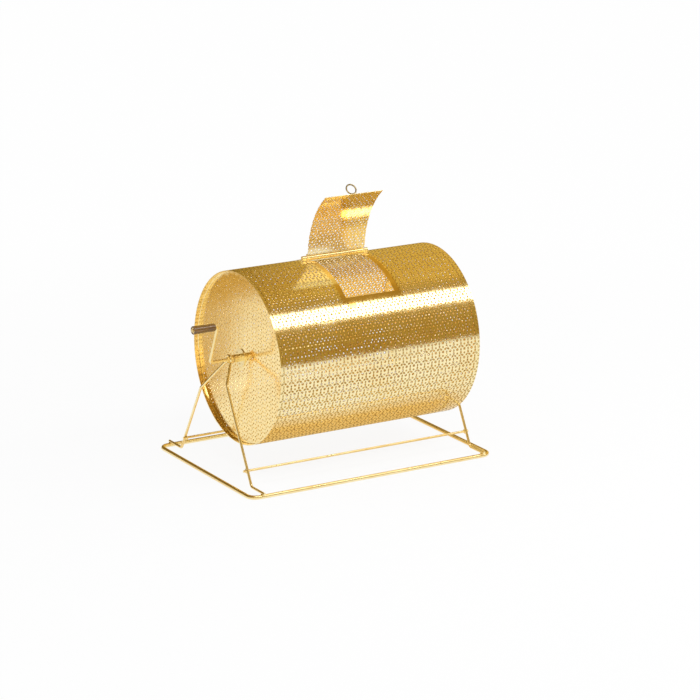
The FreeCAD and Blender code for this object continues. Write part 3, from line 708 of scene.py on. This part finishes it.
# %% Shader sums
class Signal:
    """A number that varies over a surface; sums on it become Math nodes."""

    def __init__(self, finish, socket):
        self.finish = finish
        self.socket = socket

    def sum(self, operation, first, second):
        """A Math node of two numbers or signals."""
        return self.finish.node("ShaderNodeMath", {"operation": operation}, {0: first, 1: second})

    def __add__(self, other):
        return self.sum("ADD", self, other)

    def __radd__(self, other):
        return self.sum("ADD", other, self)

    def __sub__(self, other):
        return self.sum("SUBTRACT", self, other)

    def __rsub__(self, other):
        return self.sum("SUBTRACT", other, self)

    def __mul__(self, other):
        return self.sum("MULTIPLY", self, other)

    def __rmul__(self, other):
        return self.sum("MULTIPLY", other, self)

    def size(self):
        """The signal without its sign."""
        return self.sum("ABSOLUTE", self, 0.0)

    def or_less(self, other):
        """The smaller of two signals."""
        return self.sum("MINIMUM", self, other)

    def limited(self, low=0.0, high=1.0):
        """The signal kept between two values."""
        return self.finish.node("ShaderNodeClamp", {}, {"Value": self, "Min": low, "Max": high})

    def ramp(self, low, high):
        """The signal rescaled so that low becomes 0 and high becomes 1, and no further."""
        return ((self - low) * (1.0 / (high - low))).limited()


# %% [markdown]
# ## Every other node
# One method makes every node that isn't a sum: it takes the node's type, its settings and
# the values or signals of its sockets. The others are short names for nodes that come up
# again and again, so that a finish reads as what it does and not as how it is wired.

# %% Finishes being put together
class Finish:
    """A material or world being put together."""

    def __init__(self, owner):
        owner.use_nodes = True
        self.owner = owner
        self.tree = owner.node_tree
        self.tree.nodes.clear()

    def node(self, kind, settings, inputs, output=0):
        """Add a node: its settings first, then the values or signals of its sockets."""
        made = self.tree.nodes.new(kind)
        for name, value in settings.items():
            setattr(made, name, value)
        for name, value in inputs.items():
            if isinstance(value, Signal):
                self.tree.links.new(value.socket, made.inputs[name])
            else:
                made.inputs[name].default_value = value
        return Signal(self, made.outputs[output]) if made.outputs else None

    def noise(self, where, scale, detail=2.0, roughness=0.5):
        """Soft random signal, about 0.3 to 0.7, with scale ripples to the metre."""
        return self.node("ShaderNodeTexNoise", {},
                         {"Vector": where, "Scale": scale, "Detail": detail,
                          "Roughness": roughness})

    def blend(self, share, first, second):
        """Colour between two colours, which are sockets 6 and 7 of a Mix node."""
        return self.node("ShaderNodeMix", {"data_type": "RGBA"},
                         {"Factor": share, 6: first, 7: second}, output=2)

    def place(self, kind="Object"):
        """Where the surface is, in metres, or for a world the direction looked in."""
        return self.node("ShaderNodeTexCoord", {}, {}, output=kind)

    def along(self, vector, axis):
        """One of the three numbers of a vector."""
        return self.node("ShaderNodeSeparateXYZ", {}, {"Vector": vector}, output=axis)

    def length(self, vector):
        """How long a vector is."""
        return self.node("ShaderNodeVectorMath", {"operation": "LENGTH"}, {0: vector},
                         output="Value")

    def stretched(self, where, scale):
        """Coordinates drawn out by a different amount along each axis."""
        return self.node("ShaderNodeMapping", {}, {"Vector": where, "Scale": scale})

    def bump(self, height, depth, before=None):
        """Normal of a surface raised by a height signal; depth in metres."""
        inputs = {"Height": height, "Distance": depth, "Strength": 1.0}
        if before is not None:
            inputs["Normal"] = before
        return self.node("ShaderNodeBump", {}, inputs)

    def ray(self, kind):
        """What the light path says about the ray that looks at the surface."""
        return self.node("ShaderNodeLightPath", {}, {}, output=kind)

    def seen_directly(self):
        """1 for rays from the camera, mirrored in metal or seen through glass, else 0."""
        return (self.ray("Is Camera Ray") + self.ray("Is Glossy Ray")
                + self.ray("Is Transmission Ray")).limited()


def new_finish(name):
    """A finish for a new material."""
    print("finish:", name)
    return Finish(bpy.data.materials.new(name))


# %% [markdown]
# ## Brass tones
# Polished brass has hardly any colour of its own: it is a mirror that tints what it
# reflects. A finish therefore has two tones, a clean one and a tarnished one. Lacquered
# brass is yellow, the discs are a redder gold, the straps are painted darker as painted shade,
# and the wire loop on the door has oxidised to a dull olive. The inside is painted paler, as
# painted light, and darker low at the back, as painted shade.

# %% Tones of brass
AXIS_X, AXIS_Y, AXIS_Z = 0, 1, 2

POLISHED = ((0.990, 0.870, 0.520, 1.0), (0.900, 0.660, 0.250, 1.0))
GOLDEN = ((1.000, 0.800, 0.390, 1.0), (0.990, 0.730, 0.290, 1.0))
# Painted shade: the straps' darker tone.
SHADED_GOLD = ((0.880, 0.640, 0.220, 1.0), (0.680, 0.450, 0.110, 1.0))
OXIDISED = ((0.420, 0.340, 0.160, 1.0), (0.200, 0.160, 0.080, 1.0))
# Painted light and shade inside: a paler tone, and a darker one low at the back.
PAINTED_LIGHT_INSIDE = (1.000, 0.930, 0.640, 1.0)
PAINTED_SHADE_INSIDE = (0.700, 0.560, 0.320, 1.0)
# Painted shade at the edges of the holes.
HOLE_RIM_SHADE = (0.320, 0.210, 0.065, 1.0)
print("clean polished brass:", POLISHED[0][:3])

# %% [markdown]
# ## Painted shade at the rims of the holes
# Every hole gets a thin dark rim of painted shade, which stands in for the shade and dark
# reflections at its punched edge. The shader finds it as a distance. The flat pattern kept in the
# UV map is wrapped back onto the first group, and there every hole is an ellipse: seen
# from its middle, turned and scaled by the hole's own place, turn and size, its edge lies
# at a length of 1. The nearest of the six edges counts.

# %% Distance to the nearest hole
RIM_SOLID = 0.08 * MM
RIM_FADE = 0.52 * MM


def hole_rim_shade(finish, flat, hole_share):
    """Painted shade: 1 at the edge of every hole of the sheet, 0 a little way off."""
    in_group = finish.node("ShaderNodeVectorMath", {"operation": "WRAP"},
                           {0: flat, 1: (GROUP_WIDTH, GROUP_HEIGHT, 1), 2: (0, 0, -1)})
    nearest = None
    for across, up, size, turn in GROUP:
        half_length = size[0] * hole_share / 2
        half_width = size[1] * hole_share / 2
        from_hole = finish.node("ShaderNodeMapping", {"vector_type": "TEXTURE"},
                                {"Vector": in_group, "Rotation": (0, 0, math.radians(turn)),
                                 "Location": (across * GROUP_WIDTH, up * GROUP_HEIGHT, 0),
                                 "Scale": (half_length, half_width, 1)})
        outside = finish.length(from_hole) * half_width - half_width
        nearest = outside if nearest is None else nearest.or_less(outside)
    return 1.0 - nearest.ramp(RIM_SOLID, RIM_FADE)


# %% [markdown]
# ## The inside of the shell
# The inner and the outer wall are one piece with one material, but they look different, so
# the shader tells them apart by their distance from the axle: halfway through the sheet
# the outside ends. The inner wall is painted paler as painted light, and a zone of painted
# shade is a region too, below the axle and well behind it.
# It is placed on the piece, so that it goes round with the drum.

# %% Inner wall
INNER_SIDE = (RADIUS - SHEET * 0.6, RADIUS - SHEET * 0.4)
SHADE_BELOW_AXLE = -0.030
SHADE_FADE = 0.02
SHADE_BEHIND_AXLE = (0.075, 0.100)


def inner_wall(finish, where):
    """1 on the shell's inner wall and 0 outside, and the inner wall's tone with its painted light and painted
    shade.
    """
    from_axle = finish.node("ShaderNodeVectorMath", {"operation": "MULTIPLY_ADD"},
                            {0: where, 1: (0, 1, 1), 2: (0, 0, -AXLE_Z)})
    inner = 1.0 - finish.length(from_axle).ramp(*INNER_SIDE)
    # Painted shade: darker below the axle and well behind it.
    low = (SHADE_BELOW_AXLE - finish.along(from_axle, AXIS_Z)).ramp(0.0, SHADE_FADE)
    behind = finish.along(from_axle, AXIS_Y).ramp(*SHADE_BEHIND_AXLE)
    return inner, finish.blend(low * behind, PAINTED_LIGHT_INSIDE, PAINTED_SHADE_INSIDE)


# %% [markdown]
# ## Brass
# What makes brass look like metal and not like plastic is unevenness: a tarnish that is a
# little browner in some places, polish that is duller where it was handled, fine scratches
# from rolling and buffing, and sheet that is never quite flat and puckers between its
# holes. All of that is noise at different sizes, and every brass on the drum shares it
# with its own values. The numbers below say how many ripples of each go into a metre, and
# the depths how high the ripples are.

# %% Brass finish
PATCHES = 9.0
SPOTS = 70.0
SMUDGES = 28.0
DENTS = 22.0
PUCKERS = 160.0
PUCKER_DEPTH = 0.05 * MM
SCRATCHES_ACROSS = 1400.0
SCRATCHES_ALONG = 60.0
SCRATCH_DEPTH = 0.004 * MM
DULLED = 0.05


def brass(name, tones, gloss, tarnish, waviness, grain_axis, on_sheet=False, inside=None,
          painted_rim_shade=0.0, hole_share=1.0):
    """Brass between two tones.

    gloss is its roughness and inside that of the inner wall, tarnish the share of the
    second tone, waviness the depth of its dents in metres, grain_axis the way its
    scratches run, painted_rim_shade how dark the painted shade at the holes' edges is.
    """
    finish = new_finish(name)
    where = finish.place()
    patches = finish.noise(where, PATCHES, detail=3.0)
    spots = finish.noise(where, SPOTS, detail=4.0, roughness=0.6)
    share = (patches.ramp(0.35, 0.70) * 0.7 + spots.ramp(0.45, 0.75) * 0.5) * tarnish
    colour = finish.blend(share.limited(), *tones)
    smudges = finish.noise(where, SMUDGES, detail=2.0)
    roughness = gloss + smudges.ramp(0.35, 0.75) * DULLED + share * DULLED
    flat = finish.node("ShaderNodeUVMap", {"uv_map": "sheet"}, {}) if on_sheet else None
    if painted_rim_shade:
        # Painted shade darkens the edges of the holes.
        colour = finish.blend(hole_rim_shade(finish, flat, hole_share) * painted_rim_shade, colour, HOLE_RIM_SHADE)
    if inside is not None:
        inner, inner_light_and_shade = inner_wall(finish, where)
        roughness = roughness + inner * (inside - gloss)
        colour = finish.blend(inner, colour, inner_light_and_shade)

    normal = finish.bump(finish.noise(where, DENTS, detail=1.0), waviness)
    if on_sheet:
        normal = finish.bump(finish.noise(flat, PUCKERS, detail=0.0), PUCKER_DEPTH, before=normal)
    grain_scale = [SCRATCHES_ACROSS] * 3
    grain_scale[grain_axis] = SCRATCHES_ALONG
    grain = finish.noise(finish.stretched(where, grain_scale), 1.0, detail=1.0)
    normal = finish.bump(grain, SCRATCH_DEPTH, before=normal)
    shader = finish.node("ShaderNodeBsdfPrincipled", {},
                         {"Base Color": colour, "Metallic": 1.0, "Roughness": roughness,
                          "Normal": normal})
    finish.node("ShaderNodeOutputMaterial", {}, {"Surface": shader})
    return finish.owner


# %% [markdown]
# ## Eight brasses
# The same brass is polished, drawn into wire, turned on a lathe or left alone, and each
# use has its own gloss, tarnish and dents. The sheets and straps are the brightest
# mirrors, and the thin hinge is satin, because no buffing wheel gets between its knuckles.

# %% Brass for each use
PERFORATED_BRASS = brass("perforated_sheet", POLISHED, 0.11, 0.5, 0.12 * MM, AXIS_X,
                         on_sheet=True, inside=0.12, painted_rim_shade=1.0)
DOOR_BRASS = brass("door_sheet", POLISHED, 0.11, 0.5, 0.12 * MM, AXIS_X, on_sheet=True)
DISC_BRASS = brass("disc_sheet", GOLDEN, 0.12, 0.4, 0.20 * MM, AXIS_Z, on_sheet=True,
                   painted_rim_shade=0.3, hole_share=DISC_HOLE_SHARE)
# The straps take the darker tone in full, as painted shade.
STRIP_BRASS = brass("plain_strip", SHADED_GOLD, 0.10, 1.0, 0.05 * MM, AXIS_X)
HINGE_BRASS = brass("satin_hinge", POLISHED, 0.33, 0.4, 0.02 * MM, AXIS_X)
WIRE_BRASS = brass("drawn_wire", POLISHED, 0.26, 0.8, 0.05 * MM, AXIS_X)
TURNED_BRASS = brass("turned_fittings", POLISHED, 0.30, 0.5, 0.02 * MM, AXIS_Z)
OXIDISED_BRASS = brass("oxidised_wire", OXIDISED, 0.30, 0.8, 0.05 * MM, AXIS_X)


# %% [markdown]
# ## Varnished wood
# The grip is a small piece of turned hardwood, stained dark and varnished. Its grain runs
# along the handle, so the noise is drawn out along x, once for the broad streaks and once
# for the fine pores that the stain fills. The varnish is a clear coat over both.

# %% Wood finish
STREAKS = (60.0, 900.0, 900.0)
PORES = (250.0, 3000.0, 3000.0)
STREAK_DEPTH = 0.02 * MM
DARK_STREAK = (0.110, 0.048, 0.010, 1.0)
LIGHT_STREAK = (0.300, 0.150, 0.035, 1.0)
STAINED_PORE = (0.040, 0.016, 0.005, 1.0)


def varnished_wood():
    """Stained hardwood under a clear varnish."""
    finish = new_finish("stained_wood")
    where = finish.place()
    streaks = finish.noise(finish.stretched(where, STREAKS), 1.0, detail=4.0)
    pores = finish.noise(finish.stretched(where, PORES), 1.0, detail=1.0)
    share = streaks.ramp(0.35, 0.68)
    colour = finish.blend(share, DARK_STREAK, LIGHT_STREAK)
    stained = finish.blend(pores.ramp(0.60, 0.72) * 0.6, colour, STAINED_PORE)
    shader = finish.node("ShaderNodeBsdfPrincipled", {},
                         {"Base Color": stained, "Roughness": 0.42 - share * 0.08,
                          "Normal": finish.bump(streaks, STREAK_DEPTH), "Coat Weight": 0.8,
                          "Coat Roughness": 0.08})
    finish.node("ShaderNodeOutputMaterial", {}, {"Surface": shader})
    return finish.owner


STAINED_WOOD = varnished_wood()

# %% [markdown]
# ## Who wears what
# Every piece belongs to a material slot of the construction model, and each slot has one
# finish. A few pieces look different from the rest of their slot, such as the discs or the
# loop on the door, and a second table gives these their own.

# %% Finishes on the slots
FINISH_OF_SLOT = {
    "perforated_brass": PERFORATED_BRASS,
    "plain_brass_strip": STRIP_BRASS,
    "brass_wire": WIRE_BRASS,
    "turned_brass": TURNED_BRASS,
    "varnished_wood": STAINED_WOOD,
}
OWN_FINISH = {
    "door_sheet": DOOR_BRASS,
    "hinge_leaf": HINGE_BRASS,
    "door_hinge_roll": HINGE_BRASS,
    "hinge_pin": HINGE_BRASS,
    "left_disc": DISC_BRASS,
    "right_disc": DISC_BRASS,
    "finger_loop": OXIDISED_BRASS,
}


def dress(piece, name, slot):
    """Give a piece its own finish, or else the one of its slot."""
    piece.data.materials.clear()
    piece.data.materials.append(OWN_FINISH.get(name, FINISH_OF_SLOT[slot]))


for part in frame["record"]["subparts"]:
    dress(frame["nodes"][part["node"]], part["node"], part["material_slot"])
for name, piece in PIECES.items():
    dress(piece, name, piece["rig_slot"])
print("dressed:", len(frame["nodes"]), "nodes and", len(PIECES), "new pieces")

# %% [markdown]
# ## The floor
# The drum stands on a pale floor without an edge. It is a large flat grid, and no part of the object.

# %% Floor
FLOOR_HALF = 6.0

floor_bm = bmesh.new()
bmesh.ops.create_grid(floor_bm, x_segments=8, y_segments=8, size=FLOOR_HALF)
floor_mesh = bpy.data.meshes.new("floor")
floor_bm.to_mesh(floor_mesh)
floor_bm.free()
floor = bpy.data.objects.new("floor", floor_mesh)
bpy.context.scene.collection.objects.link(floor)
print("floor: %.0f m across" % (2 * FLOOR_HALF))


# %% [markdown]
# ## The floor in the brass
# Mirrored in brass, the floor is what gives the drum its dark and warm parts, painted into
# the floor for mirrored rays only: a warm patch under the drum, painted bounce light for
# the metal's own glow falling there, and a brown far end and brown ground to the left,
# painted dark reflections which the drum's side mirrors as a dark band and the left disc
# as a darker upper part. A second mirroring mostly happens inside the drum, and sees plain
# white.
# Each pair of numbers says where a part begins and where it is complete, in metres.

# %% Mirrored floor
WHITE = (1.0, 1.0, 1.0, 1.0)
PAINTED_GOLD_BOUNCE = (0.88, 0.60, 0.22, 1.0)
PAINTED_DARK_FAR_FLOOR = (0.58, 0.36, 0.07, 1.0)
CLOUDS = 6.0
UNDER_MIDDLE = 0.02
UNDER_LENGTH = (0.20, 0.30)
UNDER_WIDTH = (0.09, 0.17)
BACK_STARTS = (0.93, 1.00)
# The left disc mirrors the floor along lines that run back and to the left this steeply.
SIGHT_SLOPE = 1.608
SIGHT_STARTS = (-0.185, -0.150)
LEFT_OF_DISC = (0.30, 0.35)
LEFT_ENDS = (0.95, 1.1)
LEFT_SHARE = 0.8


def mirrored_floor(finish, where):
    """Colour of the floor as brass mirrors it, with painted bounce light and painted dark reflections."""
    x = finish.along(where, AXIS_X)
    y = finish.along(where, AXIS_Y)
    cloud = finish.noise(where, CLOUDS)
    # Painted bounce light under the drum, and painted dark reflections far back and to the left.
    under = ((1.0 - y.size().ramp(*UNDER_WIDTH))
             * (1.0 - (x - UNDER_MIDDLE).size().ramp(*UNDER_LENGTH)))
    back = (y + cloud * 0.08 - 0.04).ramp(*BACK_STARTS)
    past_line = (y + x * SIGHT_SLOPE + cloud * 0.03).ramp(*SIGHT_STARTS)
    left = past_line * (0.0 - x).ramp(*LEFT_OF_DISC) * (1.0 - y.ramp(*LEFT_ENDS)) * LEFT_SHARE
    first = finish.blend((back + left).limited(), finish.blend(under, WHITE, PAINTED_GOLD_BOUNCE), PAINTED_DARK_FAR_FLOOR)
    return finish.blend((finish.ray("Glossy Depth") - 1.0).limited(), first, WHITE)


# %% [markdown]
# ## Floor paint
# Looked at, the floor glows white and fades into the white room, and only a soft shadow of
# its paint is left near the drum. Mirrored, it glows in the colours found above. Light that
# falls on it meets nothing but its pale, slightly mottled paint.

# %% Paint that glows where it is looked at
PAINT_TONES = ((0.86, 0.86, 0.86, 1.0), (0.92, 0.92, 0.92, 1.0))
MOTTLES = 30.0
NEAR_WHITENESS = 0.90
FAR_WHITENESS = 0.98
WHITENING = (0.5, 1.6)


def floor_paint():
    """White paint that glows white where it is looked at, and shows painted bounce light and painted dark
    reflections where brass mirrors it.
    """
    finish = new_finish("pale_floor")
    where = finish.place()
    mottle = finish.noise(where, MOTTLES)
    paint = finish.node("ShaderNodeBsdfDiffuse", {},
                        {"Color": finish.blend(mottle, *PAINT_TONES)})
    shown = finish.blend(finish.ray("Is Glossy Ray"), WHITE, mirrored_floor(finish, where))
    glow = finish.node("ShaderNodeEmission", {}, {"Color": shown, "Strength": 1.0})
    away = finish.length(where).ramp(*WHITENING)
    seen = finish.seen_directly() * (NEAR_WHITENESS + away * (FAR_WHITENESS - NEAR_WHITENESS))
    both = finish.node("ShaderNodeMixShader", {}, {0: seen, 1: paint, 2: glow})
    finish.node("ShaderNodeOutputMaterial", {}, {"Surface": both})
    return finish.owner


floor_mesh.materials.append(floor_paint())

# %% [markdown]
# ## Studio light
# One long soft lamp hangs above the drum and a little in front of it, along the axle. A
# polished cylinder stretches whatever it mirrors into a stripe, so the lamp shows as one
# clean white stripe from rim to rim. It reaches far out to the right, because a view that
# comes from the left is mirrored on to the right. Its strength is written as radiance, and
# the power in watts follows from its area.

# %% Key lamp
KEY_ANGLE = 35.0
KEY_DISTANCE = 1.7
KEY_ASIDE = 0.9
KEY_LENGTH = 3.4
KEY_WIDTH = 0.50
KEY_RADIANCE = 4.0

lamp = bpy.data.lights.new("key_light", "AREA")
lamp.shape = "RECTANGLE"
lamp.size = KEY_LENGTH
lamp.size_y = KEY_WIDTH
lamp.energy = KEY_RADIANCE * math.pi * KEY_LENGTH * KEY_WIDTH
key_light = bpy.data.objects.new("key_light", lamp)
key_light.location = Vector((KEY_ASIDE, 0, 0)) + on_drum(0, -KEY_ANGLE, KEY_DISTANCE)
key_aim = Vector((KEY_ASIDE, 0, AXLE_Z)) - key_light.location
key_light.rotation_euler = key_aim.to_track_quat("-Z", "Y").to_euler()
bpy.context.scene.collection.objects.link(key_light)
print("key lamp: %.0f W" % lamp.energy)

# %% [markdown]
# ## The room
# A mirror needs a room. For the eye the world is plain white, and for the light that it
# sheds on everything it is plain grey. Only mirrored rays find a room in it: golden in
# front, brown behind, and lighter to the far right, as from a window. Rays that were
# mirrored twice or more have mostly been inside the drum, whose walls light each other, so
# that they meet a brighter room, at first only low down and then all round.

# %% World
AMBIENT = (0.70, 0.70, 0.70, 1.0)
ROOM_FRONT = (0.40, 0.260, 0.055, 1.0)
ROOM_BACK = (0.22, 0.130, 0.015, 1.0)
ROOM_WINDOW = (0.69, 0.460, 0.100, 1.0)
ROOM_DEEP = (1.30, 1.20, 1.00, 1.0)
# Directions, as the share of a step that goes back, to the right and up.
BACK_WALL = (-0.25, 0.0)
WINDOW_EDGE = (0.470, 0.497)
LOW_DOWN = (0.20, 0.50)

world = bpy.data.worlds.new("studio")
bpy.context.scene.world = world
room = Finish(world)
look = room.place("Generated")
to_right, to_back, upwards = (room.along(look, axis) for axis in (AXIS_X, AXIS_Y, AXIS_Z))
behind = room.blend(to_right.ramp(*WINDOW_EDGE), ROOM_BACK, ROOM_WINDOW)
walls = room.blend(to_back.ramp(*BACK_WALL), ROOM_FRONT, behind)
mirrorings = room.ray("Glossy Depth")
deep_and_low = (mirrorings - 1.0).limited() * (1.0 - upwards.ramp(*LOW_DOWN))
deep = (deep_and_low + (mirrorings - 2.0).limited()).limited()
mirrored_room = room.blend(deep, walls, ROOM_DEEP)
light_or_room = room.blend(room.ray("Is Glossy Ray"), AMBIENT, mirrored_room)
looked_at = (room.ray("Is Camera Ray") + room.ray("Is Transmission Ray")).limited()
background = room.node("ShaderNodeBackground", {},
                       {"Color": room.blend(looked_at, light_or_room, WHITE), "Strength": 1.0})
room.node("ShaderNodeOutputWorld", {}, {"Surface": background})
print("room:", len(world.node_tree.nodes), "nodes")

# %% [markdown]
# ## Light inside the drum
# Light enters the drum through its holes and bounces from wall to wall many times before
# it leaves again, and that is why the inside of a shiny drum looks bright. A renderer
# gives up after a few bounces, so it is told to follow such light for longer.

# %% Bounces between bright walls
MIRROR_BOUNCES = 12
bpy.context.scene.cycles.glossy_bounces = MIRROR_BOUNCES
bpy.context.scene.cycles.max_bounces = MIRROR_BOUNCES + 4
print("mirrored light is followed for", MIRROR_BOUNCES, "bounces")

# %% [markdown]
# ## Camera
# The drum is seen from its crank end, a little from above, through a long lens from far
# away, which keeps its rims and rails nearly parallel. The camera is given by the point it
# looks at, two angles, a distance and a roll of less than a degree. Its three axes are
# worked out from them and set as the columns of one matrix. The focal length is written
# in pixels of the finished image, and the lens follows from it.

# %% Camera
CAMERA_AZIMUTH = 31.851
CAMERA_ELEVATION = 16.250
CAMERA_ROLL = 0.653
CAMERA_DISTANCE = 5.25
CAMERA_TARGET = Vector((0.0491, 0.0, 0.17846))
FOCAL_PIXELS = 3024.7
IMAGE_PIXELS = 700
SENSOR = 36.0

azimuth = math.radians(CAMERA_AZIMUTH)
elevation = math.radians(CAMERA_ELEVATION)
forward = Vector((math.sin(azimuth) * math.cos(elevation),
                  math.cos(azimuth) * math.cos(elevation), -math.sin(elevation)))
level_right = Vector((math.cos(azimuth), -math.sin(azimuth), 0))
level_up = level_right.cross(forward)
roll = math.radians(CAMERA_ROLL)
right = level_right * math.cos(roll) + level_up * math.sin(roll)
up = right.cross(forward)
camera_data = bpy.data.cameras.new("camera")
camera_data.sensor_width = SENSOR
camera_data.lens = FOCAL_PIXELS / IMAGE_PIXELS * SENSOR
camera_data.clip_end = 100.0
camera = bpy.data.objects.new("camera", camera_data)
facing = Matrix((right, up, -forward)).transposed().to_4x4()
camera.matrix_world = Matrix.Translation(CAMERA_TARGET - forward * CAMERA_DISTANCE) @ facing
bpy.context.scene.collection.objects.link(camera)
bpy.context.scene.camera = camera
bpy.context.scene.view_settings.view_transform = "Standard"
print("camera: %.0f mm lens, %.2f m away" % (camera_data.lens, CAMERA_DISTANCE))
